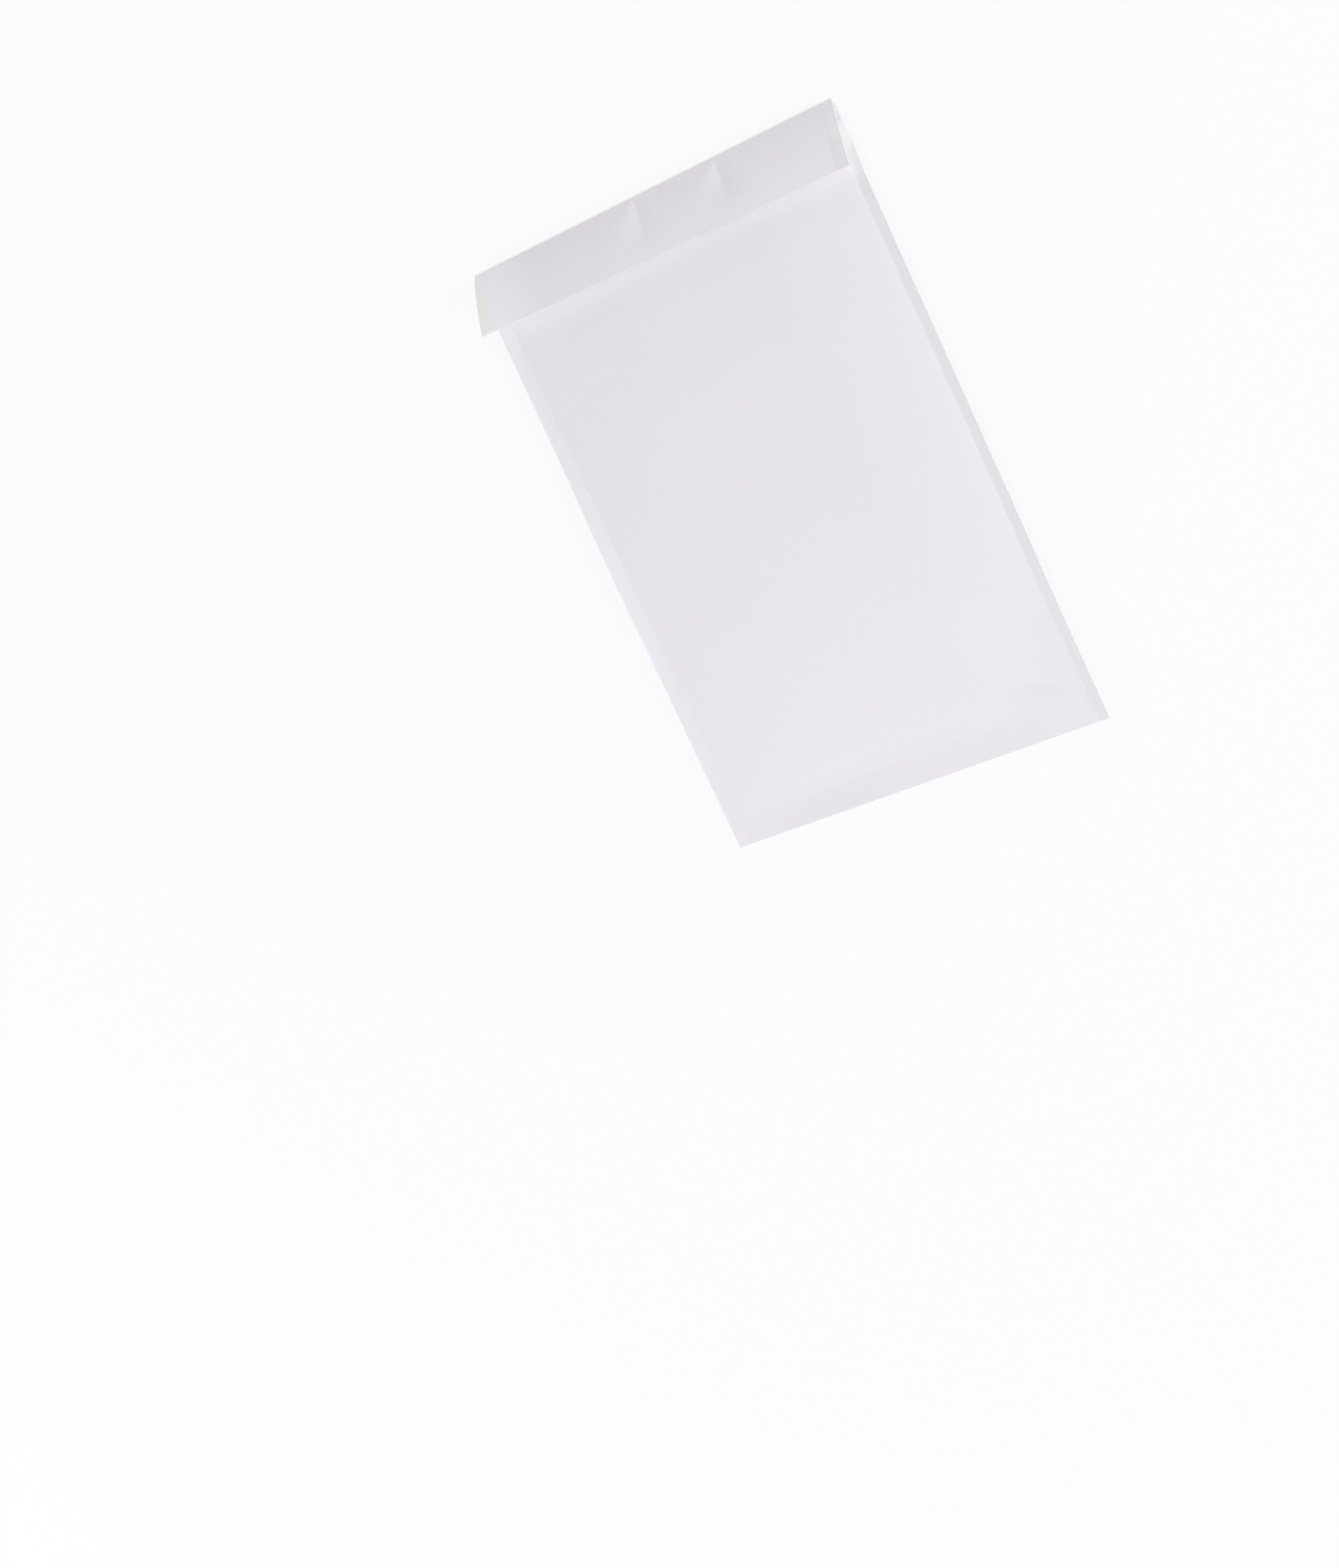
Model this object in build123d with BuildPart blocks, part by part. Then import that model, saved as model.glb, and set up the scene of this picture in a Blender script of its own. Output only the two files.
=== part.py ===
from build123d import *

import os
from math import asin, cos, degrees, sin

# A padded envelope lying on its back, with its flap folded part of the way over the front.
# Sizes are in millimetres. X runs across the width, Y along the length towards the flap
# and Z up from the surface that the envelope lies on. The origin is below its middle.

# The envelope as it is sold, measured flat
outer_width = 320.0
outer_length = 455.0
flap_length = 48.0

# The sheets that it is made of
paper_thickness = 0.3
bubble_thickness = 2.6
sealed_film_thickness = 0.4
film_clearance = 0.2

# The sealed margins around the pad, which is cut a little off the middle of its side seals
left_seam_width = 11.0
right_seam_width = 8.5
bottom_seam_width = 20.0
mouth_lip = 15.0

# The pad, measured up and down from the plane of the seams
pad_front_height = 7.4
pad_back_depth = 5.5
mouth_height = 6.0
shoulder_run = 2.2
shoulder_rise = 1.9
flank_run = 30.0
flank_height = 5.4
foot_run = 48.0
pocket_margin = 14.0
crown_run = 110.0
mouth_run = 60.0

# How round the pad's section is at each of its bends
shoulder_radius = 2.5
flank_radius = 160.0
crown_radius = 1200.0
back_radius = 60.0
lip_radius = 20.0

# The crease, and how far the flap's free edge is sprung up above it at each end
crease_inner_radius = 0.35
lip_flat = 0.9
flap_rise_left = 22.6
flap_rise_right = 15.4

# The closure on the inside of the flap
release_width = 26.0
release_thickness = 0.15
release_edge_gap = 2.0
release_end_gap = 13.0
adhesive_width = 20.0
adhesive_thickness = 0.2
adhesive_end_gap = 15.0
strip_clearance = 0.3

# How far a cut runs past what it cuts
overrun = 5.0

half_width = outer_width / 2
half_length = outer_length / 2
seam_z = pad_back_depth
half_film = sealed_film_thickness / 2
half_seam = half_film + paper_thickness
crease_outer_radius = crease_inner_radius + paper_thickness
crease_y = half_length - crease_outer_radius
crease_z = seam_z - half_film + crease_inner_radius
lip_end_y = crease_y - lip_flat
mouth_y = half_length - mouth_lip
pad_left = left_seam_width - half_width
pad_right = half_width - right_seam_width
pad_foot = bottom_seam_width - half_length
wall = paper_thickness + film_clearance + bubble_thickness
flap_reach = flap_length - crease_outer_radius
flap_ends = (
    (-half_width, asin(flap_rise_left / flap_reach)),
    (half_width, asin(flap_rise_right / flap_reach)),
)


def moved_in(points, inset):
    """The corners of a closed outline, drawn clockwise, with all its sides moved in by inset."""
    moved = []
    for number, point in enumerate(points):
        corner = Vector(*point)
        side_in = (corner - Vector(*points[number - 1])).normalized()
        side_out = (Vector(*points[(number + 1) % len(points)]) - corner).normalized()
        normals = [Vector(side.Y, -side.X) for side in (side_in, side_out)]
        share = inset / (1 + normals[0].dot(normals[1]))
        moved.append(corner + (normals[0] + normals[1]) * share)
    return moved


def across_outline():
    """The pad's section across the width, seen from the foot, as corners and bend radii."""
    return zip(
        ((pad_left, seam_z), 0),
        ((pad_left + shoulder_run, seam_z + shoulder_rise), shoulder_radius),
        ((pad_left + flank_run, seam_z + flank_height), flank_radius),
        ((0, seam_z + pad_front_height), crown_radius),
        ((pad_right - flank_run, seam_z + flank_height), flank_radius),
        ((pad_right - shoulder_run, seam_z + shoulder_rise), shoulder_radius),
        ((pad_right, seam_z), 0),
        ((pad_right - shoulder_run, seam_z - shoulder_rise), shoulder_radius),
        ((pad_right - flank_run, 0), back_radius),
        ((pad_left + flank_run, 0), back_radius),
        ((pad_left + shoulder_run, seam_z - shoulder_rise), shoulder_radius),
    )


def along_outline():
    """The pad's section along the length, with the flap to the right, open at the mouth."""
    return zip(
        ((pad_foot, seam_z), 0),
        ((pad_foot + shoulder_run, seam_z + shoulder_rise), shoulder_radius),
        ((pad_foot + foot_run, seam_z + flank_height), flank_radius),
        ((pad_foot + crown_run, seam_z + pad_front_height), flank_radius),
        ((mouth_y - mouth_run, seam_z + pad_front_height), flank_radius),
        ((half_length + overrun, seam_z + mouth_height), 0),
        ((half_length + overrun, seam_z - half_seam), 0),
        ((lip_end_y, seam_z - half_seam), 0),
        ((mouth_y, 0), lip_radius),
        ((pad_foot + flank_run, 0), back_radius),
        ((pad_foot + shoulder_run, seam_z - shoulder_rise), shoulder_radius),
    )


def pocket_across():
    """The section across the width of the space between the two layers of bubbles."""
    return zip(
        ((pad_left + pocket_margin, seam_z), 0),
        ((pad_left + flank_run, seam_z + flank_height - wall), flank_radius),
        ((0, seam_z + pad_front_height - wall), crown_radius),
        ((pad_right - flank_run, seam_z + flank_height - wall), flank_radius),
        ((pad_right - pocket_margin, seam_z), 0),
        ((pad_right - flank_run, wall), back_radius),
        ((pad_left + flank_run, wall), back_radius),
    )


def pocket_along():
    """The section along the length of the space between the two layers of bubbles."""
    return zip(
        ((pad_foot + pocket_margin, seam_z), 0),
        ((pad_foot + foot_run, seam_z + flank_height - wall), flank_radius),
        ((pad_foot + crown_run, seam_z + pad_front_height - wall), flank_radius),
        ((mouth_y - mouth_run, seam_z + pad_front_height - wall), flank_radius),
        ((half_length + overrun, seam_z + mouth_height - wall), 0),
        ((half_length + overrun, wall), 0),
        ((pad_foot + flank_run, wall), back_radius),
    )


def cushion(across, along, inset=0):
    """What lies inside both of two outlines, one across the width and one along the length."""
    with BuildPart() as body:
        for plane, outline in ((Plane.XZ, across), (Plane.YZ, along)):
            corners, radii = outline
            with BuildSketch(plane):
                with BuildLine():
                    FilletPolyline(*moved_in(corners, inset), radius=radii, close=True)
                make_face()
            mode = Mode.ADD if plane == Plane.XZ else Mode.INTERSECT
            extrude(amount=outer_length, both=True, mode=mode)
    return body.part


def flat_seams(half_thickness, side_overrun):
    """A flat slab in the plane of the seams, with its edge at the foot rounded as a fold is."""
    foot_y = half_seam - half_length
    with BuildPart() as slab:
        with BuildSketch(Plane.YZ):
            with Locations((foot_y, seam_z)):
                Circle(half_thickness)
                Rectangle(
                    lip_end_y - foot_y,
                    2 * half_thickness,
                    align=(Align.MIN, Align.CENTER),
                )
        extrude(amount=half_width + side_overrun, both=True)
    return slab.part


def inside_of_flap(tilt, distance, depth):
    """A point of the section at one end of the flap, from the crease and in from the sheet."""
    out = crease_inner_radius - depth
    return (
        crease_y + out * sin(tilt) - distance * cos(tilt),
        crease_z + out * cos(tilt) + distance * sin(tilt),
    )


def flap_strip(edge_gap, width, end_gap, depth, thickness):
    """A flat strip on the inside of the flap, which follows the flap's twist."""
    top = flap_reach - edge_gap
    with BuildPart() as strip:
        for x, tilt in flap_ends:
            with BuildSketch(Plane.YZ.offset(x)):
                with BuildLine():
                    Polyline(
                        inside_of_flap(tilt, top, depth),
                        inside_of_flap(tilt, top, depth + thickness),
                        inside_of_flap(tilt, top - width, depth + thickness),
                        inside_of_flap(tilt, top - width, depth),
                        close=True,
                    )
                make_face()
        loft(ruled=True)
        with BuildSketch(Plane.XY):
            Rectangle(outer_width - 2 * end_gap, outer_length)
        extrude(amount=outer_length, mode=Mode.INTERSECT)
    return strip.part


# The flap is one sheet with the back panel: it turns round the crease and is twisted lengthwise.
with BuildPart() as flap:
    for x, tilt in flap_ends:
        turn = 180 - degrees(tilt)
        with BuildSketch(Plane.YZ.offset(x)):
            with BuildLine():
                centre = (crease_y, crease_z)
                outer = CenterArc(centre, crease_outer_radius, -90, turn)
                inner = CenterArc(centre, crease_inner_radius, -90, turn)
                face = PolarLine(outer @ 1, flap_reach, turn)
                lining = PolarLine(inner @ 1, flap_reach, turn)
                Line(face @ 1, lining @ 1)
                root_low = Line(outer @ 0, (lip_end_y, crease_z - crease_outer_radius))
                root_high = Line(inner @ 0, (lip_end_y, crease_z - crease_inner_radius))
                Line(root_low @ 1, root_high @ 1)
            make_face()
    loft(ruled=True)

paper_outside = cushion(across_outline(), along_outline())
paper_inside = cushion(across_outline(), along_outline(), paper_thickness)
lining_outside = cushion(across_outline(), along_outline(), paper_thickness + film_clearance)
pocket = cushion(pocket_across(), pocket_along())
seams_outside = flat_seams(half_seam, 0)
seams_inside = flat_seams(half_film, overrun)
seams_film = flat_seams(half_film, 0)

# The paper is one folded sheet: front panel, foot fold, back panel, lip, crease and flap.
with BuildPart() as paper_sleeve:
    add(paper_outside)
    add(seams_outside)
    add(paper_inside, mode=Mode.SUBTRACT)
    add(seams_inside, mode=Mode.SUBTRACT)
    with BuildSketch(Plane.XY.offset(seam_z)):
        with Locations((0, mouth_y)):
            Rectangle(outer_width + overrun, outer_length, align=(Align.CENTER, Align.MIN))
    extrude(amount=outer_length, mode=Mode.SUBTRACT)
    split(bisect_by=Plane.XZ.offset(-lip_end_y), keep=Keep.TOP)
    add(flap.part)

# The lining is one folded web of bubble film, sealed flat along the seams and at the foot.
with BuildPart() as bubble_lining:
    add(lining_outside)
    add(seams_film)
    add(pocket, mode=Mode.SUBTRACT)
    split(bisect_by=Plane.XZ.offset(-mouth_y), keep=Keep.TOP)

# The two strips of the closure lie one under the other on the inside of the flap.
adhesive_strip = flap_strip(
    release_edge_gap + (release_width - adhesive_width) / 2,
    adhesive_width,
    adhesive_end_gap,
    strip_clearance,
    adhesive_thickness,
)
release_strip = flap_strip(
    release_edge_gap,
    release_width,
    release_end_gap,
    adhesive_thickness + 2 * strip_clearance,
    release_thickness,
)

os.makedirs("parts", exist_ok=True)
pieces = {
    "paper_sleeve": paper_sleeve.part,
    "bubble_lining": bubble_lining.part,
    "adhesive_strip": adhesive_strip,
    "release_strip": release_strip,
}
for name, piece in pieces.items():
    piece.label = name
    export_step(piece, f"parts/{name}.step")
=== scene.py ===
"""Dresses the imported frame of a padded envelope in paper, bubble film and its closure."""

from math import asin, atan2, cos, exp, hypot, pi, radians, sin

import bmesh
import bpy
from bpy.props import FloatProperty, FloatVectorProperty, IntProperty, PointerProperty
from mathutils import Matrix, Vector, noise


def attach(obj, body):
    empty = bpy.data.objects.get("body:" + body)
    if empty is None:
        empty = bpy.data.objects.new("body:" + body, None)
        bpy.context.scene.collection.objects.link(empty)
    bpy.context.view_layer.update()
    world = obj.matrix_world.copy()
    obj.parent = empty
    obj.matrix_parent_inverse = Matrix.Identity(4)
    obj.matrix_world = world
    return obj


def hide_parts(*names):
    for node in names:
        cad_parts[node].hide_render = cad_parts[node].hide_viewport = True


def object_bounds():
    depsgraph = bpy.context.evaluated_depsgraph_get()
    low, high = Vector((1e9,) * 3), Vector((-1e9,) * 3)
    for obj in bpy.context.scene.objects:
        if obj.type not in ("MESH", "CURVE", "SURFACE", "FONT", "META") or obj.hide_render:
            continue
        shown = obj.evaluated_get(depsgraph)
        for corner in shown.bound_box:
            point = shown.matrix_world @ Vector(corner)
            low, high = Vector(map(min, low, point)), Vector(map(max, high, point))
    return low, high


bl_info = {
    "name": "Padded Envelope",
    "version": (1, 0, 0),
    "blender": (4, 5, 0),
    "location": "View3D > Sidebar > Envelope",
    "description": "Builds a bubble-lined paper envelope with its flap folded partly over",
    "category": "Object",
}

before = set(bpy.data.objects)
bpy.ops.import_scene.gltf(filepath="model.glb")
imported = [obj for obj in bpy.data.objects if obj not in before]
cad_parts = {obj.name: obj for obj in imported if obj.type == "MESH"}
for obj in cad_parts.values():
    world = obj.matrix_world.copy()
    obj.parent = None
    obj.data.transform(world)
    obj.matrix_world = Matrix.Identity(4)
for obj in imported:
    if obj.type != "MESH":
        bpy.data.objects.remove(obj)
CAD_LOW, CAD_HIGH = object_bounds()
MM = 0.001


# Sizes and finishes

def length(name, description, millimetres):
    """A size that a user can change, shown in the scene's unit of length."""
    return FloatProperty(
        name=name,
        description=description,
        default=millimetres * MM,
        unit="LENGTH",
        precision=5,
    )


def colour(name, description, value):
    """A colour that a user can change."""
    return FloatVectorProperty(
        name=name,
        description=description,
        default=value,
        subtype="COLOR",
        size=3,
        min=0,
        max=1,
    )


class EnvelopeSizes(bpy.types.PropertyGroup):
    """The envelope's sizes. Its outline comes from the frame."""

    paper: length("Paper", "Thickness of the paper", 0.18)
    film: length("Film", "Thickness of the bubble film's flat side", 0.1)
    layers: length("Layers", "From the plane of the seams to the middle of the paper", 0.22)
    seam_height: length("Seam height", "Height of the plane of the seams", 5.5)
    left_seam: length("Left seam", "Width of the flat margin on the left", 11)
    right_seam: length("Right seam", "Width of the flat margin on the right", 8.5)
    foot_seam: length("Foot seam", "Width of the flat margin at the foot", 20)
    lip: length("Lip", "From the front panel's edge to the crease", 15)
    pad_height: length("Pad height", "Front of the pad above the plane of the seams", 6.4)
    step_rise: length("Step", "Height of the pad's shoulder at the seams", 0.5)
    step_run: length("Step run", "How soon the shoulder levels out", 4)
    left_run: length("Left run", "How far in from the left seam the pad still rises", 180)
    right_run: length("Right run", "How far in from the right seam the pad still rises", 85)
    foot_run: length("Foot run", "How far up from the foot seam the pad still rises", 180)
    back_run: length("Back run", "How far in from the seams the back panel still falls", 34)
    mouth_run: length("Mouth run", "How far from the mouth the pad starts to sink", 130)
    mouth_fall: length("Mouth fall", "How far the pad sinks towards the mouth", 2.2)
    margin_curl: length("Margin curl", "How far the outer edges of the margins curl up", 1.2)
    crease_radius: length("Crease radius", "Radius of the crease at mid-sheet", 0.5)
    flap: length("Flap", "From the crease to the flap's free edge", 47.35)
    flap_rise_left: length("Flap rise left", "Free edge above the crease, left", 22.6)
    flap_rise_right: length("Flap rise right", "Free edge above the crease, right", 15.4)
    release_width: length("Release strip", "Width of the release strip", 26)
    adhesive_width: length("Adhesive", "Width of the adhesive strip", 20)
    bubble_radius: length("Bubble radius", "Radius of a bubble", 5)
    bubble_pitch: length("Bubble pitch", "Distance from one bubble's middle to the next", 11.4)
    bubble_height: length("Bubble height", "Height of a full bubble", 2.35)
    bubble_sides: IntProperty(
        name="Bubble sides",
        description="Sides of a bubble's round outline",
        default=8,
        min=5,
        max=24,
    )


class EnvelopeFinishes(bpy.types.PropertyGroup):
    """The envelope's colours, two of which paint light on the paper."""

    paper: colour("Paper", "White paper", (0.800, 0.790, 0.832))
    # Painted backlight: the flap's bare ends are coloured brighter and warmer, as if lit
    # through
    paper_painted_backlight: colour("Bare paper", "Paper with no closure behind it", (0.975, 0.965, 0.935))
    # Painted light: the paper's inner face is coloured brighter, to light the shade under the
    # flap's ends
    paper_inside_painted_light: colour("Inside", "The paper's brighter inner face", (0.945, 0.928, 0.940))
    film: colour("Film", "Clear bubble film", (0.86, 0.88, 0.90))
    adhesive: colour("Adhesive", "Hot-melt adhesive", (0.86, 0.80, 0.62))
    release: colour("Release", "Silicone-coated release paper", (0.92, 0.91, 0.87))
    floor: colour("Floor", "Studio floor", (0.90, 0.90, 0.90))


# The envelope's form

def ease(share):
    """0 to 1, with a soft start and a soft end."""
    share = min(max(share, 0.0), 1.0)
    return share * share * (3 - 2 * share)


def swell(share, fullness):
    """0 to 1, rising fast at first and then levelling out."""
    return 1 - (1 - min(max(share, 0.0), 1.0)) ** fullness


def settle(distance, reach):
    """0 to 1, steep at first and closer to 1 with every reach."""
    return 1 - exp(-max(distance, 0.0) / reach)


def hill(distance, reach):
    """1 at no distance, falling off softly on both sides to about a third at reach."""
    return exp(-((distance / reach) ** 2))


def rising(place, start, stop):
    """0 at start and 1 at stop, both in millimetres, with a soft start and a soft end."""
    return ease((place / MM - start) / (stop - start))


def uneven(x, y, pattern):
    """Smooth noise from -1 to 1, from its features to the metre and its layer."""
    across, along, layer = pattern
    return noise.noise(Vector((x * across, y * along, layer)))


def soft_max(one, other, blend):
    """The larger of two heights, rounded where they cross."""
    return max(one, other) + max(blend - abs(one - other), 0.0) ** 2 / (4 * blend)


class EnvelopeForm:
    """Where the middle of the paper runs: front, foot fold, back, lip, crease and flap."""

    # Kinks in the flap: place along the crease, how steep, and where each starts, lies and
    # ends, sideways for each unit down the flap. Then how far down they reach, and how hollow
    # their sides are
    KINKS = ((-12 * MM, 0.17, -0.8, 0.12, 0.95), (60 * MM, 0.15, -0.95, 0.10, 1.05))
    KINK_REACH = 25 * MM
    KINK_HOLLOW = 1.4
    # Shallow swells and hollows of the front: x, y, turn, half width, half length, height
    SWELLS = (
        (25, 50, 17, 26, 140, -0.40),
        (-95, -80, 8, 60, 130, 0.90),
        (100, -90, -6, 45, 110, 0.70),
        (75, 40, 14, 22, 90, 0.22),
        (118, -185, 32, 26, 52, -0.65),
        (132, -196, 63, 3, 26, -0.45),
        (144, 77, 2, 2.6, 42, 0.35),
        (146, -48, -2, 2.6, 22, 0.35),
    )
    UNEVENNESS, UNEVEN_PATTERN = 0.10, (22, 16, 1.3)
    # How late each margin bends up across its width, and how much the waves in it add
    LEFT_BEND, RIGHT_BEND, FOOT_BEND = 1.3, 1.2, 2
    WAVES, WAVE_PATTERN = 0.6, (9, 14, 3.7)
    # The left margin curls up most a little below its middle, and the right one more towards
    # the foot, but down where the flap's end hangs over it
    FLICK, FLICK_PLACE, FLICK_REACH = 1.9, -15 * MM, 75 * MM
    DROOP, DROOP_PLACE, DROOP_REACH = 1.2, 27 * MM, 17 * MM
    RIGHT_CURL, FOOT_CURL = 0.8, 0.2
    # How full the pad's flanks are, in front at the left, right and foot, and behind
    LEFT_FULLNESS, RIGHT_FULLNESS, FOOT_FULLNESS, BACK_FULLNESS = 1.7, 1.6, 1.6, 2.2
    MOUTH_FULLNESS = 1.6
    # The left flank is shorter towards the mouth, and the foot's starts softly
    LEFT_SHORTER = 0.35
    FOOT_SOFTNESS = 18 * MM
    FOOT_STEP_RUNS = 5
    # The lip starts to rise this far before the mouth's edge, and is blended into the pad
    LIP_LEAD = 11 * MM
    LIP_BLEND = 0.3 * MM
    # How far the flap's slope turns between its chord and either end of it
    FLAP_BEND = radians(5)

    def __init__(self, sizes):
        self.sizes = sizes
        self.left, self.right = CAD_LOW.x, CAD_HIGH.x
        self.foot, self.crease = CAD_LOW.y, CAD_HIGH.y
        self.pad_left = self.left + sizes.left_seam
        self.pad_right = self.right - sizes.right_seam
        self.pad_foot = self.foot + sizes.foot_seam
        self.mouth = self.crease - sizes.lip
        self.foot_centre = self.foot + sizes.paper / 2 + sizes.layers
        self.crease_centre = self.crease - sizes.paper / 2 - sizes.crease_radius
        self.stretches = {
            "flap": self.on_flap,
            "crease": self.on_crease,
            "back": self.on_back,
            "foot": self.on_foot,
            "front": self.on_front,
        }

    def inside(self, x, y):
        """Distances in from the left, right and foot seams."""
        return x - self.pad_left, self.pad_right - x, y - self.pad_foot

    def step(self, x, y):
        """The pad's shoulder along the seams, from 0 on them to 1, sharpest at the sides."""
        run = self.sizes.step_run
        left, right, foot = self.inside(x, y)
        return settle(left, run) * settle(right, run) * settle(foot, self.FOOT_STEP_RUNS * run)

    def lift(self, x, y):
        """How far the flat margins curl and wave up from the plane of the seams."""
        left, right, foot = self.inside(x, y)
        left = max(-left / self.sizes.left_seam, 0.0) ** self.LEFT_BEND
        right = max(-right / self.sizes.right_seam, 0.0) ** self.RIGHT_BEND
        low = max(-foot / self.sizes.foot_seam, 0.0) ** self.FOOT_BEND
        wave = self.WAVES * uneven(x, y, self.WAVE_PATTERN)
        flick = self.FLICK * hill(y - self.FLICK_PLACE, self.FLICK_REACH)
        droop = self.DROOP * hill(self.crease - self.DROOP_PLACE - y, self.DROOP_REACH)
        curl = left * (1 + flick + wave) + low * (self.FOOT_CURL + wave)
        curl += right * (1 + wave + self.RIGHT_CURL * rising(y, 0, -150)) * (1 - 2 * droop)
        return self.sizes.margin_curl * rising(self.crease - y, 0, 40) * curl

    def swells(self, x, y):
        """The shallow swells and hollows of the pad's front, from handling."""
        height = self.UNEVENNESS * uneven(x, y, self.UNEVEN_PATTERN)
        for middle_x, middle_y, turn, half_width, half_length, rise in self.SWELLS:
            away_x, away_y = x / MM - middle_x, y / MM - middle_y
            turn = radians(turn)
            across = away_x * cos(turn) + away_y * sin(turn)
            along = away_y * cos(turn) - away_x * sin(turn)
            height += rise * hill(across, half_width) * hill(along, half_length)
        return height * MM

    def front(self, x, y):
        """Height of the front panel."""
        sizes = self.sizes
        left, right, foot = self.inside(x, y)
        left_run = sizes.left_run * (1 - self.LEFT_SHORTER * rising(y, -60, 120))
        soft_foot = foot - self.FOOT_SOFTNESS * settle(foot, self.FOOT_SOFTNESS)
        crown = (
            swell(left / left_run, self.LEFT_FULLNESS)
            * swell(right / sizes.right_run, self.RIGHT_FULLNESS)
            * swell(soft_foot / sizes.foot_run, self.FOOT_FULLNESS)
        )
        near_mouth = max(1 - (self.mouth - y) / sizes.mouth_run, 0.0)
        sunk = sizes.mouth_fall * near_mouth**self.MOUTH_FULLNESS
        rise = sizes.step_rise * self.step(x, y)
        rise += (sizes.pad_height - sizes.layers - sizes.step_rise - sunk) * crown
        rise += self.swells(x, y) * rising(min(left, right, foot), 0, 25)
        return sizes.seam_height + self.lift(x, y) + sizes.layers + rise

    def back(self, x, y):
        """Height of the back panel and the lip."""
        sizes = self.sizes
        left, right, foot = self.inside(x, y)
        low = sizes.paper / 2
        fall = sizes.step_rise * self.step(x, y)
        deep = sizes.seam_height - low - sizes.layers - sizes.step_rise
        fall += deep * (
            swell(left / sizes.back_run, self.BACK_FULLNESS)
            * swell(right / sizes.back_run, self.BACK_FULLNESS)
            * swell(foot / sizes.back_run, self.BACK_FULLNESS)
        )
        pad = sizes.seam_height + self.lift(x, y) - sizes.layers - fall
        lip_run = sizes.lip + self.LIP_LEAD
        share = max((y - self.crease_centre + lip_run) / lip_run, 0.0)
        lip = low + (sizes.seam_height - sizes.layers - low) * share**2
        return soft_max(pad, lip, self.LIP_BLEND)

    def lip_slope(self, x):
        """The slope at which the lip meets the crease."""
        nudge = 0.4 * MM
        y = self.crease_centre
        return atan2(self.back(x, y) - self.back(x, y - nudge), nudge)

    def crease_height(self, x):
        """Height of the middle of the crease's bend."""
        radius = self.sizes.crease_radius
        return self.back(x, self.crease_centre) + radius * cos(self.lip_slope(x))

    def flap_chord(self, x):
        """The slope of the flap's chord off the level."""
        sizes = self.sizes
        share = (x - self.left) / (self.right - self.left)
        rise = sizes.flap_rise_left + (sizes.flap_rise_right - sizes.flap_rise_left) * share
        return asin(rise / sizes.flap)

    def kinks(self, x, down):
        """How far the flap is dented in, where it was bent against the crease."""
        depth = 0.0
        for place, steepness, start, valley, end in self.KINKS:
            aside = (x - place) / max(down, 0.5 * MM)
            if start < aside < valley:
                share = (aside - start) / (valley - start)
            elif valley <= aside < end:
                share = (end - aside) / (end - valley)
            else:
                continue
            fade = exp(-((down / self.KINK_REACH) ** 3))
            depth += steepness * down * fade * share**self.KINK_HOLLOW * (valley - start)
        return depth

    def on_flap(self, x, down, inward=0.0):
        """A point of the flap, down from the crease, and its distance in from mid-sheet."""
        start = self.flap_chord(x) + self.FLAP_BEND
        rate = 2 * self.FLAP_BEND / self.sizes.flap
        tilt = start - rate * down
        y = self.crease_centre - (sin(start) - sin(tilt)) / rate
        z = self.crease_height(x) + (cos(tilt) - cos(start)) / rate
        out = self.sizes.crease_radius - inward - self.kinks(x, down)
        return Vector((x, y + out * sin(tilt), z + out * cos(tilt)))

    def on_crease(self, x, share):
        """A point of the crease's bend, from the flap at share 0 to the lip at share 1."""
        radius = self.sizes.crease_radius
        start = pi / 2 - self.flap_chord(x) - self.FLAP_BEND
        stop = self.lip_slope(x) - pi / 2
        turn = start + (stop - start) * share
        middle = self.crease_height(x)
        return Vector((x, self.crease_centre + radius * cos(turn), middle + radius * sin(turn)))

    def on_foot(self, x, share):
        """A point of the foot's fold, from the back at share 0 to the front at share 1."""
        radius = self.sizes.layers
        turn = -pi / 2 - pi * share
        middle = self.sizes.seam_height + self.lift(x, self.foot_centre)
        return Vector((x, self.foot_centre + radius * cos(turn), middle + radius * sin(turn)))

    def on_front(self, x, y):
        """A point of the front panel."""
        return Vector((x, y, self.front(x, y)))

    def on_back(self, x, y):
        """A point of the back panel or the lip."""
        return Vector((x, y, self.back(x, y)))

    def place(self, x, row):
        """The point at x on a row of the sheet, which names a stretch and how far along it."""
        stretch, at = row
        return self.stretches[stretch](x, at)


# Mesh helpers

def spread(stops):
    """Places from the first stop to the last, from (place, spacing) pairs in millimetres.

    A stop's spacing holds as far as the next stop.
    """
    places = [stops[0][0]]
    for (start, spacing), (stop, _) in zip(stops, stops[1:]):
        count = max(1, round(abs(stop - start) / spacing))
        places += [start + (stop - start) * number / count for number in range(1, count + 1)]
    return [place * MM for place in places]


def shaped_grid(columns, rows, place):
    """A flat grid, moved so that each of its corners lies where place puts it."""
    sheet = bmesh.new()
    bmesh.ops.create_grid(
        sheet, x_segments=len(columns) - 1, y_segments=len(rows) - 1, size=1
    )
    for corner in sheet.verts:
        column = round((corner.co.x + 1) / 2 * (len(columns) - 1))
        row = round((corner.co.y + 1) / 2 * (len(rows) - 1))
        corner.co = place(columns[column], rows[row])
    sheet.normal_update()
    return sheet


def thicken(piece, thickness):
    """Gives a sheet its thickness, half to each side, and applies it."""
    wall = piece.modifiers.new("Thickness", "SOLIDIFY")
    wall.thickness = thickness
    wall.offset = 0
    wall.use_even_offset = True
    wall.use_quality_normals = True
    shown = piece.evaluated_get(bpy.context.evaluated_depsgraph_get())
    mesh = bpy.data.meshes.new_from_object(shown)
    piece.modifiers.clear()
    piece.data = mesh
    mesh.name = piece.name


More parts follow.
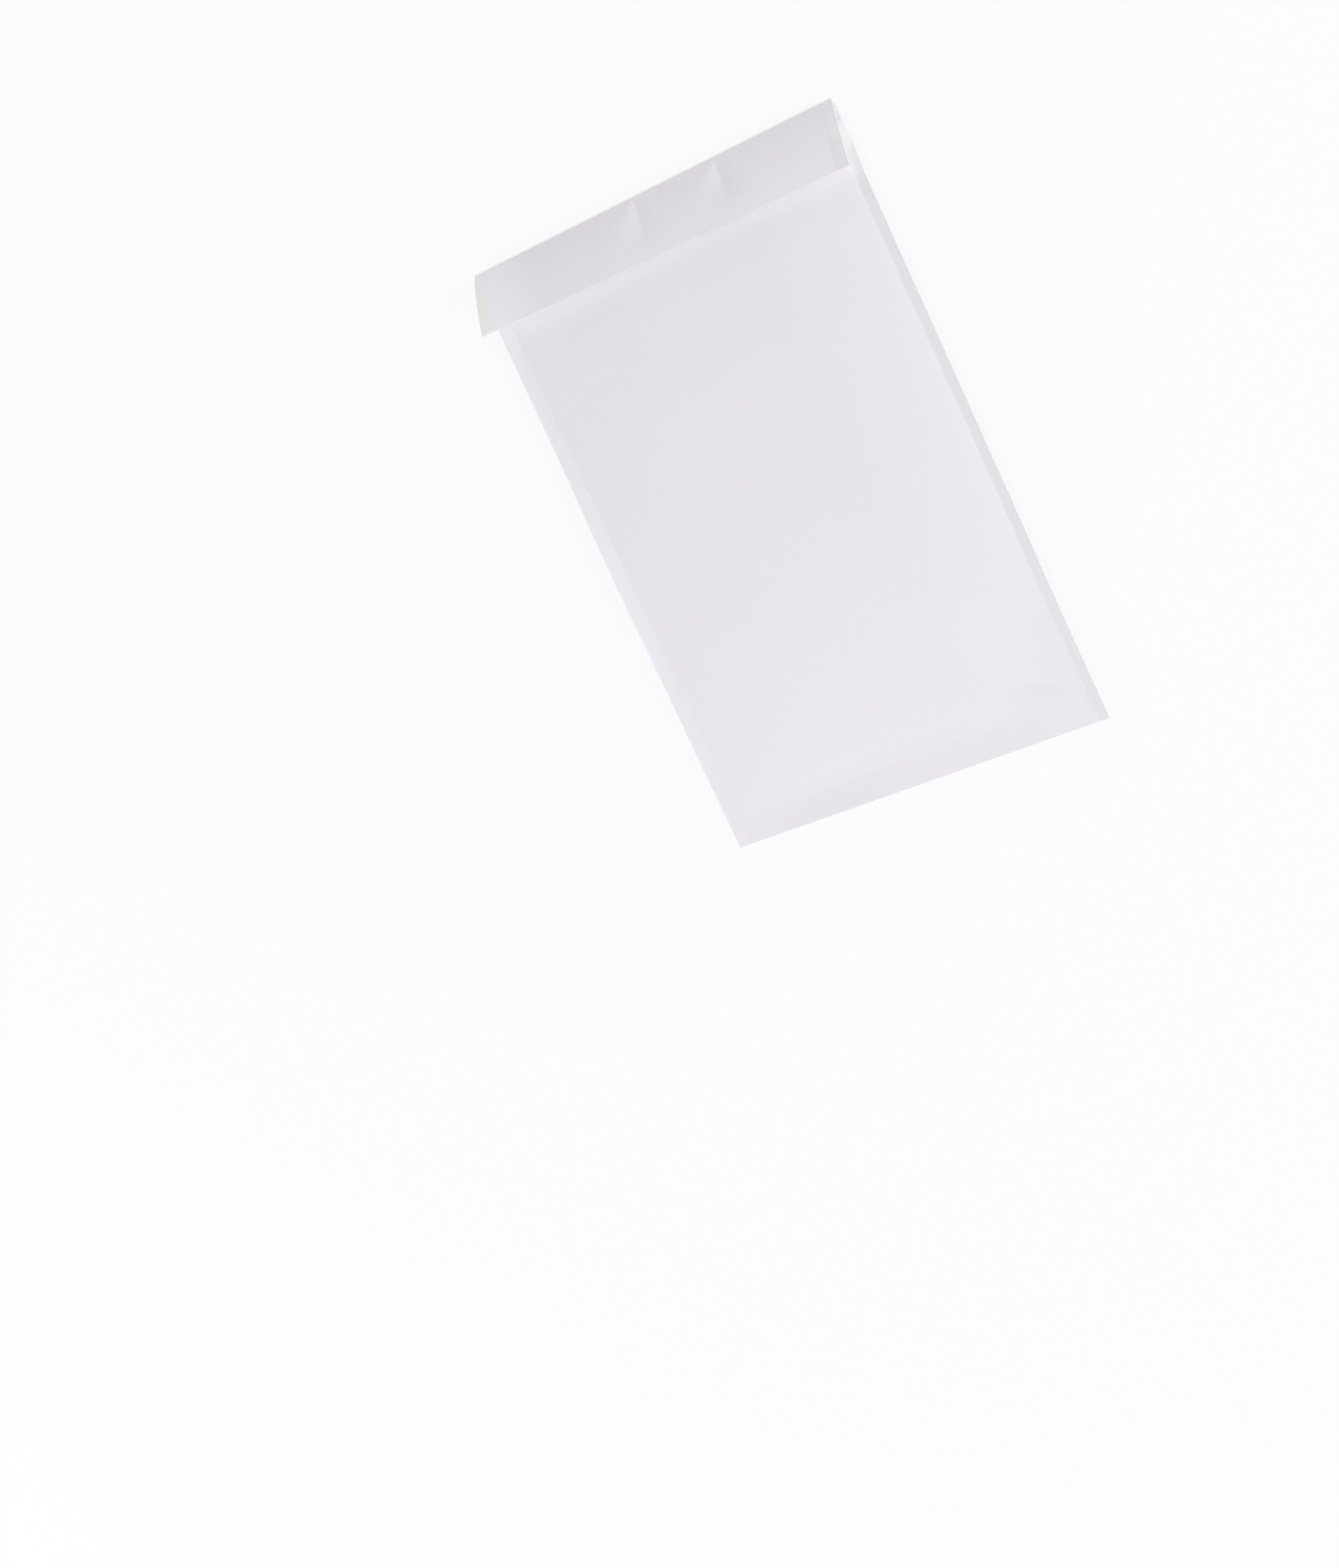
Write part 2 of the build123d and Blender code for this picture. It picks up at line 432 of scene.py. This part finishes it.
def new_piece(name, sheet, material):
    """An object of the mesh that is ready in sheet."""
    mesh = bpy.data.meshes.new(name)
    sheet.to_mesh(mesh)
    sheet.free()
    mesh.materials.append(material)
    piece = bpy.data.objects.new(name, mesh)
    bpy.context.scene.collection.objects.link(piece)
    return piece


def shade(piece, angle=40):
    """Smooth faces, with a sharp edge wherever the surface turns by more than angle."""
    piece.data.shade_smooth()
    piece.data.set_sharp_from_angle(angle=radians(angle))


def dress(piece, slot, *nodes):
    """Lets a piece stand for the frame's nodes: hangs it on the root body and hides the nodes.
    The slot is not used.
    """
    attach(piece, "root")
    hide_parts(*nodes)


# Materials

class Socket:
    """A node's output. Arithmetic on it adds Math nodes."""

    def __init__(self, shader, output):
        self.shader, self.output = shader, output

    def maths(self, operation, *values):
        """A Math node on some values."""
        inputs = dict(enumerate(values))
        return self.shader.node("ShaderNodeMath", {"operation": operation}, inputs)

    def __add__(self, other):
        return self.maths("ADD", self, other)

    def __sub__(self, other):
        return self.maths("SUBTRACT", self, other)

    def __rsub__(self, other):
        return self.maths("SUBTRACT", other, self)

    def __mul__(self, other):
        return self.maths("MULTIPLY", self, other)

    __radd__ = __add__
    __rmul__ = __mul__


class Shader:
    """A material's node tree, built from the values and links of its sockets."""

    def __init__(self, name):
        self.material = bpy.data.materials.new(name)
        self.start(self.material)

    @classmethod
    def of_world(cls, world):
        """The same for a world's nodes."""
        shader = cls.__new__(cls)
        shader.start(world)
        return shader

    def start(self, holder):
        """Empties the nodes of a material or a world."""
        holder.use_nodes = True
        self.tree = holder.node_tree
        self.tree.nodes.clear()

    def node(self, kind, settings=None, inputs=None, output=0):
        """A node with its settings, then its inputs, as the socket of one of its outputs."""
        made = self.tree.nodes.new(kind)
        for name, value in (settings or {}).items():
            setattr(made, name, value)
        for name, value in (inputs or {}).items():
            if isinstance(value, Socket):
                self.tree.links.new(value.output, made.inputs[name])
            else:
                made.inputs[name].default_value = value
        return Socket(self, made.outputs[output]) if made.outputs else made

    def noise(self, scale, detail, roughness):
        """Noise between 0 and 1, scale features to the metre."""
        where = self.node("ShaderNodeTexCoord", output="Object")
        return self.node(
            "ShaderNodeTexNoise",
            {"noise_dimensions": "3D"},
            {"Vector": where, "Scale": scale, "Detail": detail, "Roughness": roughness},
        )

    def attribute(self, name):
        """A mark that was left on the mesh."""
        return self.node("ShaderNodeAttribute", {"attribute_name": name}, output="Fac")

    def mix(self, factor, one, other, blend="MIX"):
        """One colour mixed into another."""
        # A Mix node's colour sockets have the numbers 6 and 7, and its colour output is 2
        return self.node(
            "ShaderNodeMix",
            {"data_type": "RGBA", "blend_type": blend},
            {0: factor, 6: one, 7: other},
            output=2,
        )

    def bump(self, height, strength, distance):
        """The normal of a surface with low relief, distance high."""
        return self.node(
            "ShaderNodeBump",
            None,
            {"Height": height, "Strength": strength, "Distance": distance},
        )

    def surface(self, **sockets):
        """A Principled surface, and the finished material."""
        named = {name.replace("_", " "): value for name, value in sockets.items()}
        return self.finish(self.node("ShaderNodeBsdfPrincipled", None, named))

    def finish(self, surface):
        """The material, once its surface is set."""
        self.node("ShaderNodeOutputMaterial", None, {"Surface": surface})
        return self.material


def rgba(value, brightness=1.0):
    """A colour with its alpha, made a little brighter or darker."""
    return (*(part * brightness for part in value), 1.0)


def mottled(shader, factor, value, contrast):
    """A colour that gets darker and brighter by contrast, with a factor from 0 to 1."""
    return shader.mix(factor, rgba(value, 1 - contrast), rgba(value, 1 + contrast))


def white_paper(finishes):
    """Smooth bleached paper: faint cloudy formation, fine fibre, and a soft sheen, with painted
    light on the flap, its bare ends and the inner face.
    """
    shader = Shader("white_paper")
    clouds = shader.noise(240, detail=3, roughness=0.62)
    fibre = shader.noise(1500, detail=2, roughness=0.55)
    broad = shader.noise(11, detail=2, roughness=0.5)
    tone = clouds * 0.5 + fibre * 0.3 + broad * 0.2
    cool = mottled(shader, tone, finishes.paper, 0.018)
    # The paper's hue drifts a little towards pink over the width of a hand
    pink = shader.mix(1.0, cool, rgba((1.005, 0.994, 0.992)), "MULTIPLY")
    drift = shader.noise(7, detail=1, roughness=0.4) * 2.4 - 0.7
    plain = shader.mix(drift, cool, pink)
    # The flap is painted lighter, a little for the closure behind it and more as painted light
    whitening_and_painted_light = rgba((1.23, 1.23, 1.22))
    backed_and_painted_light = shader.mix(shader.attribute("backing_and_painted_light"), plain, whitening_and_painted_light, "MULTIPLY")
    # The flap's bare ends take the painted backlight
    outer = shader.mix(shader.attribute("bare_end_backlight"), backed_and_painted_light, rgba(finishes.paper_painted_backlight))
    # The inner face, and the front's margin under the flap's end, take painted light
    base = shader.mix(shader.attribute("inner"), outer, rgba(finishes.paper_inside_painted_light))
    return shader.surface(
        Base_Color=base,
        Roughness=0.46 + clouds * 0.10,
        Normal=shader.bump(fibre * 0.6 + clouds * 0.4, 0.10, 0.06 * MM),
    )


def bubble_film(finishes):
    """Clear film, glossy and a little cloudy."""
    shader = Shader("bubble_film")
    haze = shader.noise(160, detail=3, roughness=0.6)
    ripples = shader.noise(420, detail=2, roughness=0.5)
    return shader.surface(
        Base_Color=rgba(finishes.film),
        Roughness=0.10 + haze * 0.12,
        Alpha=0.34 + haze * 0.16,
        Normal=shader.bump(ripples, 0.20, 0.08 * MM),
    )


def hot_melt(finishes):
    """Tacky adhesive with an uneven coat."""
    shader = Shader("adhesive")
    coat = shader.noise(300, detail=3, roughness=0.6)
    return shader.surface(
        Base_Color=mottled(shader, coat, finishes.adhesive, 0.08),
        Roughness=0.22 + coat * 0.15,
        Normal=shader.bump(coat, 0.4, 0.08 * MM),
    )


def release_paper(finishes):
    """Thin glossy release paper."""
    shader = Shader("release_paper")
    clouds = shader.noise(300, detail=3, roughness=0.6)
    return shader.surface(
        Base_Color=mottled(shader, clouds, finishes.release, 0.03),
        Roughness=0.22 + clouds * 0.08,
        Normal=shader.bump(clouds, 0.08, 0.05 * MM),
    )


# Pieces

class ENVELOPE_OT_sleeve(bpy.types.Operator):
    """Makes the paper sleeve, one sheet from the flap's free edge round to the front's edge"""

    bl_idname = "envelope.sleeve"
    bl_label = "Paper sleeve"

    # The sheet's grid is closest at the seams, the kinks, the crease and the mouth
    COLUMNS = (
        (-160, 1.5), (-151, 0.5), (-145.5, 2.5), (-120, 3.6), (-30, 1.8), (15, 3.0),
        (45, 1.8), (90, 3.6), (143, 1.8), (148.5, 0.5), (153, 1.4), (160, 1),
    )
    FLAP_ROWS = ((47.35, 1.5), (3, 0.75), (0, 1))
    BACK_ROWS = (
        (226.85, 1.2), (212, 2.5), (195, 6.5), (-170, 2.5), (-205, 0.5), (-209.5, 3),
        (-227, 1),
    )
    FRONT_ROWS = (
        (-227, 2), (-209.5, 0.5), (-205, 2.5), (-170, 4.2), (150, 2.6), (212.5, 1),
    )
    CREASE_ROWS, FOOT_ROWS = 10, 8
    # How far the corners are rounded off at the crease's left and right end, how far along
    # the sides, and from how far out
    LEFT_CORNER, RIGHT_CORNER, CORNER_REACH = 1.5, 0.5, 2.6 * MM
    CORNER_START, CORNER_WIDTH = 150 * MM, 10 * MM

    def execute(self, context):
        form = EnvelopeForm(context.scene.envelope_sizes)
        sheet = shaped_grid(spread(self.COLUMNS), self.rows(), form.place)
        self.round_corners(sheet, form)
        paper = white_paper(context.scene.envelope_finishes)
        sleeve = new_piece("sleeve_paper", sheet, paper)
        thicken(sleeve, form.sizes.paper)
        shade(sleeve)
        self.mark_faces(sleeve, form)
        dress(sleeve, "white_paper", "paper_sleeve")
        return {"FINISHED"}

    def rows(self):
        """The sheet's rows in order, from the flap's free edge to the front's edge."""
        rows = [("flap", down) for down in spread(self.FLAP_ROWS)]
        rows += [("crease", row / self.CREASE_ROWS) for row in range(1, self.CREASE_ROWS)]
        rows += [("back", y) for y in spread(self.BACK_ROWS)]
        rows += [("foot", row / self.FOOT_ROWS) for row in range(1, self.FOOT_ROWS)]
        return rows + [("front", y) for y in spread(self.FRONT_ROWS)]

    def round_corners(self, sheet, form):
        """Rounds the sheet's outline off a little where it was creased."""
        for corner in sheet.verts:
            near = hill(corner.co.y - form.crease, self.CORNER_REACH)
            outer = max(abs(corner.co.x) - self.CORNER_START, 0.0) / self.CORNER_WIDTH
            if corner.co.x > 0:
                corner.co.x -= outer * near * self.RIGHT_CORNER * MM
            else:
                corner.co.x += outer * near * self.LEFT_CORNER * MM

    def mark_faces(self, sleeve, form):
        """Marks where light is painted: the inner face and the front's margin under the flap's
        end, the flap's outer face where the closure lies behind it, and its bare ends.
        """
        marks = {
            name: sleeve.data.attributes.new(name, "FLOAT", "POINT").data
            for name in ("inner", "backing_and_painted_light", "bare_end_backlight")
        }
        for number, corner in enumerate(sleeve.data.vertices):
            x, y, z = corner.co
            rise = z - form.sizes.seam_height
            down = hypot(form.crease - y, rise)
            # The flap stands at nearly its chord's slope, well clear of the pad below it, and
            # the front ends at the mouth, above the plane of the seams and the lip
            flap_rise = 0.88 * sin(form.flap_chord(x)) * down
            on_flap = rise > flap_rise and y > form.mouth - 40 * MM
            on_front = rise > form.lift(x, y) and y < form.mouth + 0.2 * MM
            # The inner face takes the painted light of the inside colour
            inner = (corner.normal.z < 0) == (on_flap or on_front)
            # The front's right margin under the flap's end is painted nearly as light, where
            # the flap shades it
            painted_light_under_flap_end = 0.0 if on_flap else rising(y, 165, 195) * rising(x, 149, 152)
            marks["inner"][number].value = max(inner, 0.9 * painted_light_under_flap_end)
            if on_flap and not inner:
                marks["backing_and_painted_light"][number].value = self.backing_and_painted_light(x, down)
                marks["bare_end_backlight"][number].value = self.bare_end_backlight_share(x, down)

    def backing_and_painted_light(self, x, down):
        """How far the flap is painted lighter down from the crease: a little for the closure
        behind it, more as painted light at the left end, and less for painted shade at the
        right corner.
        """
        white = 0.40 + 0.10 * rising(down, 0, 40)
        white += 0.46 * rising(x, -100, -145) + 0.06 * rising(x, 60, 0)
        return white - 0.34 * rising(x, 147, 155) * rising(down, 20, 34)

    def bare_end_backlight_share(self, x, down):
        """How far the flap's bare ends, past the closure and as far up as it lies, take painted
        backlight.
        """
        ends = 0.9 * rising(x, -146, -150) + 0.20 * rising(x, 148, 157)
        return rising(down, 14, 22) * rising(down, 47, 44) * ends


class ENVELOPE_OT_lining(bpy.types.Operator):
    """Makes the bubble lining, one web of film folded at the foot, with its bubbles inwards"""

    bl_idname = "envelope.lining"
    bl_label = "Bubble lining"

    # The film's grid is closest at the seams
    COLUMNS = (
        (-159.7, 4), (-151, 0.8), (-147, 4), (-120, 6), (120, 5), (149, 0.8), (153, 3.2),
        (159.7, 1),
    )
    BACK_ROWS = ((212.4, 3), (190, 7), (-170, 4), (-205, 0.8), (-210, 5), (-227, 1))
    FRONT_ROWS = ((-227, 5), (-210, 0.8), (-205, 4), (-170, 7), (190, 3), (212.4, 1))
    FOOT_ROWS = 6
    GAP_TO_PAPER = 0.01 * MM
    # The rings of a bubble above its base: how much narrower each is, and its share of the rise
    BUBBLE_RINGS = ((0.93, 0.62), (0.60, 0.38))
    # Between the seams and the nearest bubbles, and how deep a bubble's base is in its film
    BUBBLE_MARGIN = 0.8 * MM
    BUBBLE_SINK = 0.05 * MM
    # A bubble takes up this share of the gap between the webs, and is left out if too low
    BUBBLE_SHARE, LOWEST_BUBBLE = 0.47, 0.4 * MM

    def execute(self, context):
        sizes = context.scene.envelope_sizes
        form = EnvelopeForm(sizes)
        sheet = shaped_grid(spread(self.COLUMNS), self.rows(), form.place)
        inset = (sizes.paper + sizes.film) / 2 + self.GAP_TO_PAPER
        moved = [(corner, corner.co - corner.normal * inset) for corner in sheet.verts]
        for corner, place in moved:
            corner.co = place
        film = bubble_film(context.scene.envelope_finishes)
        lining = new_piece("lining_film", sheet, film)
        thicken(lining, sizes.film)
        whole = bmesh.new()
        whole.from_mesh(lining.data)
        self.add_bubbles(whole, form, inset + sizes.film / 2)
        whole.to_mesh(lining.data)
        whole.free()
        shade(lining, 60)
        dress(lining, "bubble_film", "bubble_lining")
        return {"FINISHED"}

    def rows(self):
        """The web's rows in order, from the mouth down the back and up the front."""
        rows = [("back", y) for y in spread(self.BACK_ROWS)]
        rows += [("foot", row / self.FOOT_ROWS) for row in range(1, self.FOOT_ROWS)]
        return rows + [("front", y) for y in spread(self.FRONT_ROWS)]

    def bubble(self, sizes):
        """One bubble of unit height: a round, flat-topped dome on a closed base."""
        dome = bmesh.new()
        bmesh.ops.create_circle(
            dome, cap_ends=True, segments=sizes.bubble_sides, radius=sizes.bubble_radius
        )
        bmesh.ops.reverse_faces(dome, faces=dome.faces[:])
        ring = dome.edges[:]
        for width, rise in self.BUBBLE_RINGS:
            grown = bmesh.ops.extrude_edge_only(dome, edges=ring)["geom"]
            corners = [item for item in grown if isinstance(item, bmesh.types.BMVert)]
            ring = [item for item in grown if isinstance(item, bmesh.types.BMEdge)]
            bmesh.ops.scale(dome, vec=(width, width, 1), verts=corners)
            bmesh.ops.translate(dome, vec=(0, 0, rise), verts=corners)
        bmesh.ops.contextual_create(dome, geom=ring)
        bmesh.ops.recalc_face_normals(dome, faces=dome.faces[:])
        mesh = bpy.data.meshes.new("bubble")
        dome.to_mesh(mesh)
        dome.free()
        return mesh

    def places(self, form, depth):
        """Where the bubbles of both webs sit, in offset rows, lower where the webs meet."""
        sizes = form.sizes
        room = sizes.bubble_radius + self.BUBBLE_MARGIN
        y = form.pad_foot + room
        odd = 0
        while y < form.mouth - room:
            x = form.pad_left + room + odd * sizes.bubble_pitch / 2
            while x < form.pad_right - room:
                gap = form.front(x, y) - form.back(x, y) - 2 * depth
                height = min(sizes.bubble_height, gap * self.BUBBLE_SHARE)
                if height > self.LOWEST_BUBBLE:
                    yield self.set_square(x, y, form.front, -1, depth, height)
                    yield self.set_square(x, y, form.back, 1, depth, height)
                x += sizes.bubble_pitch
            y += sizes.bubble_pitch * sin(pi / 3)
            odd = 1 - odd

    def set_square(self, x, y, surface, side, depth, height):
        """The place of a bubble, square on its web, which points up at side 1, down at -1."""
        step = 2 * MM
        slope_x = (surface(x + step, y) - surface(x - step, y)) / (2 * step)
        slope_y = (surface(x, y + step) - surface(x, y - step)) / (2 * step)
        up = Vector((-slope_x, -slope_y, 1)).normalized() * side
        base = Vector((x, y, surface(x, y))) + up * (depth - self.BUBBLE_SINK)
        turn = up.to_track_quat("Z", "Y").to_matrix().to_4x4()
        return Matrix.Translation(base) @ turn @ Matrix.Diagonal((1, 1, height, 1))

    def add_bubbles(self, whole, form, depth):
        """Copies one bubble to every place, doubling the number of copies each time."""
        dome = self.bubble(form.sizes)
        corners, edges, faces = len(dome.vertices), len(dome.edges), len(dome.polygons)
        places = list(self.places(form, depth))
        copies = bmesh.new()
        copies.from_mesh(dome)
        made = 1
        while made < len(places):
            more = min(made, len(places) - made)
            first = copies.verts[: more * corners] + copies.edges[: more * edges]
            bmesh.ops.duplicate(copies, geom=first + copies.faces[: more * faces])
            made += more
        for number, corner in enumerate(copies.verts):
            corner.co = places[number // corners] @ corner.co
        copies.to_mesh(dome)
        copies.free()
        whole.from_mesh(dome)
        bpy.data.meshes.remove(dome)


class ENVELOPE_OT_closure(bpy.types.Operator):
    """Makes the adhesive strip on the inside of the flap and the release strip over it"""

    bl_idname = "envelope.closure"
    bl_label = "Closure"

    # From the flap's free edge to the release strip, and how much of a curled end is loose
    EDGE_GAP = 2 * MM
    LOOSE_END = 8 * MM
    # Rows of faces across a strip
    ROWS = 12

    def execute(self, context):
        sizes = context.scene.envelope_sizes
        finishes = context.scene.envelope_finishes
        form = EnvelopeForm(sizes)
        outer = sizes.flap - self.EDGE_GAP
        inner = outer - (sizes.release_width - sizes.adhesive_width) / 2
        adhesive = self.strip(
            "adhesive_coat", hot_melt(finishes), form, inner,
            sizes.adhesive_width, half_length=145, gap=0.02, thickness=0.2, curl=0,
        )
        dress(adhesive, "adhesive", "adhesive_strip")
        release = self.strip(
            "release_liner", release_paper(finishes), form, outer,
            sizes.release_width, half_length=147, gap=0.26, thickness=0.12, curl=0.5,
        )
        dress(release, "release_paper", "release_strip")
        return {"FINISHED"}

    def strip(self, name, finish, form, top, width, half_length, gap, thickness, curl):
        """A strip that lies gap off the flap's inside, with its right end curled off it.

        Top is how far down the flap its far edge lies. Half its length, its gap, thickness
        and curl are in millimetres.
        """
        inward = form.sizes.paper / 2 + (gap + thickness / 2) * MM
        columns = spread((
            (-half_length, 2.5), (-30, 1.8), (15, 3), (45, 1.8), (90, 2.5), (half_length, 1),
        ))
        rows = [top - width * row / self.ROWS for row in range(self.ROWS + 1)]

        def place(x, down):
            loose = max(x - half_length * MM + self.LOOSE_END, 0.0) / self.LOOSE_END
            return form.on_flap(x, down, inward + curl * MM * loose**2)

        strip = new_piece(name, shaped_grid(columns, rows, place), finish)
        thicken(strip, thickness * MM)
        shade(strip)
        return strip


# Stage

class ENVELOPE_OT_stage(bpy.types.Operator):
    """Makes the floor, the lamps, the world's light and the camera"""

    bl_idname = "envelope.stage"
    bl_label = "Stage"

    FLOOR_SIZE = 8
    # Just below the envelope, so that the two never touch
    FLOOR_DROP = 0.4 * MM
    # The floor as the camera sees it: how much of it is plain white, and how bright that is
    FLOOR_WHITE, FLOOR_GLOW = 0.9, 0.985
    WORLD_LIGHT, WORLD_TINT, BACKDROP_GLOW = 0.42, (0.99, 0.99, 1.0), 0.97
    WHITE = (1, 1, 1)
    # Name, place, size and watts of each lamp
    LAMPS = (
        ("overhead", (-0.25, -0.1, 2.4), (1.6, 1.6), 9.9),
        ("side_low", (2.3, -0.3, 0.7), (1.2, 0.7), 38.6),
        ("low_front", (-0.4, -2.5, 0.36), (2.4, 0.5), 43),
        ("left", (-2.2, -0.6, 0.9), (1.2, 0.7), 15.9),
        ("back", (-0.3, 2.4, 1.2), (2.2, 0.8), 5.5),
    )
    CAMERA_PLACE = (1.24616, 0.13771, 2.05930)
    CAMERA_TURN = (-22.2487, 28.5634, -28.6806)
    LENS, SENSOR = 79.14, 36
    CLIP_START, CLIP_END = 0.05, 50

    def execute(self, context):
        self.floor(context)
        self.world(context)
        for lamp in self.LAMPS:
            self.lamp(context, *lamp)
        self.camera(context)
        context.scene.view_settings.view_transform = "Standard"
        return {"FINISHED"}

    def floor(self, context):
        """A pale floor that keeps the envelope's shadow and looks nearly white."""
        plane = bmesh.new()
        bmesh.ops.create_grid(plane, x_segments=1, y_segments=1, size=self.FLOOR_SIZE)
        bmesh.ops.translate(plane, vec=(0, 0, -self.FLOOR_DROP), verts=plane.verts)
        shader = Shader("floor")
        paint = rgba(context.scene.envelope_finishes.floor)
        matt = shader.node("ShaderNodeBsdfDiffuse", None, {"Color": paint})
        glow = shader.node(
            "ShaderNodeEmission",
            None,
            {"Color": rgba(self.WHITE), "Strength": self.FLOOR_GLOW},
        )
        white = self.seen(shader) * self.FLOOR_WHITE
        mixed = shader.node("ShaderNodeMixShader", None, {0: white, 1: matt, 2: glow})
        new_piece("floor", plane, shader.finish(mixed))

    def world(self, context):
        """An even light from all sides, and a pale backdrop past the floor."""
        world = bpy.data.worlds.new("studio")
        context.scene.world = world
        shader = Shader.of_world(world)
        light = shader.node(
            "ShaderNodeBackground",
            None,
            {"Color": rgba(self.WORLD_TINT), "Strength": self.WORLD_LIGHT},
        )
        backdrop = shader.node(
            "ShaderNodeBackground",
            None,
            {"Color": rgba(self.WHITE), "Strength": self.BACKDROP_GLOW},
        )
        mixed = shader.node(
            "ShaderNodeMixShader", None, {0: self.seen(shader), 1: light, 2: backdrop}
        )
        shader.node("ShaderNodeOutputWorld", None, {"Surface": mixed})

    def seen(self, shader):
        """1 for the rays that see the backdrop itself, and 0 for those that only light."""
        camera, glossy, transmission = (
            shader.node("ShaderNodeLightPath", output=f"Is {kind} Ray")
            for kind in ("Camera", "Glossy", "Transmission")
        )
        return camera + glossy + transmission

    def lamp(self, context, name, place, size, watts):
        """A soft rectangular lamp, turned towards the origin."""
        light = bpy.data.lights.new(name, "AREA")
        light.shape = "RECTANGLE"
        light.size, light.size_y = size
        light.energy = watts
        lamp = bpy.data.objects.new(name, light)
        lamp.location = place
        lamp.rotation_mode = "QUATERNION"
        lamp.rotation_quaternion = (-Vector(place)).to_track_quat("-Z", "Y")
        context.scene.collection.objects.link(lamp)

    def camera(self, context):
        """The camera at the photo's viewing angle."""
        lens = bpy.data.cameras.new("camera")
        lens.lens = self.LENS
        lens.sensor_width = self.SENSOR
        lens.clip_start, lens.clip_end = self.CLIP_START, self.CLIP_END
        camera = bpy.data.objects.new("camera", lens)
        camera.location = self.CAMERA_PLACE
        camera.rotation_euler = [radians(turn) for turn in self.CAMERA_TURN]
        context.scene.collection.objects.link(camera)
        context.scene.camera = camera


class ENVELOPE_PT_sidebar(bpy.types.Panel):
    """Lists the envelope's sizes, colours and pieces"""

    bl_idname = "ENVELOPE_PT_sidebar"
    bl_label = "Padded Envelope"
    bl_space_type = "VIEW_3D"
    bl_region_type = "UI"
    bl_category = "Envelope"

    def draw(self, context):
        for group in (context.scene.envelope_sizes, context.scene.envelope_finishes):
            box = self.layout.box()
            for name in group.__annotations__:
                box.prop(group, name)
        for operator in OPERATORS:
            self.layout.operator(operator.bl_idname)


OPERATORS = (ENVELOPE_OT_sleeve, ENVELOPE_OT_lining, ENVELOPE_OT_closure, ENVELOPE_OT_stage)
CLASSES = (EnvelopeSizes, EnvelopeFinishes, *OPERATORS, ENVELOPE_PT_sidebar)


def register():
    for made in CLASSES:
        bpy.utils.register_class(made)
    bpy.types.Scene.envelope_sizes = PointerProperty(type=EnvelopeSizes)
    bpy.types.Scene.envelope_finishes = PointerProperty(type=EnvelopeFinishes)


def unregister():
    del bpy.types.Scene.envelope_finishes
    del bpy.types.Scene.envelope_sizes
    for made in reversed(CLASSES):
        bpy.utils.unregister_class(made)


def main():
    """Builds every piece."""
    register()
    bpy.ops.envelope.sleeve()
    bpy.ops.envelope.lining()
    bpy.ops.envelope.closure()
    bpy.ops.envelope.stage()


if __name__ == "__main__":
    main()
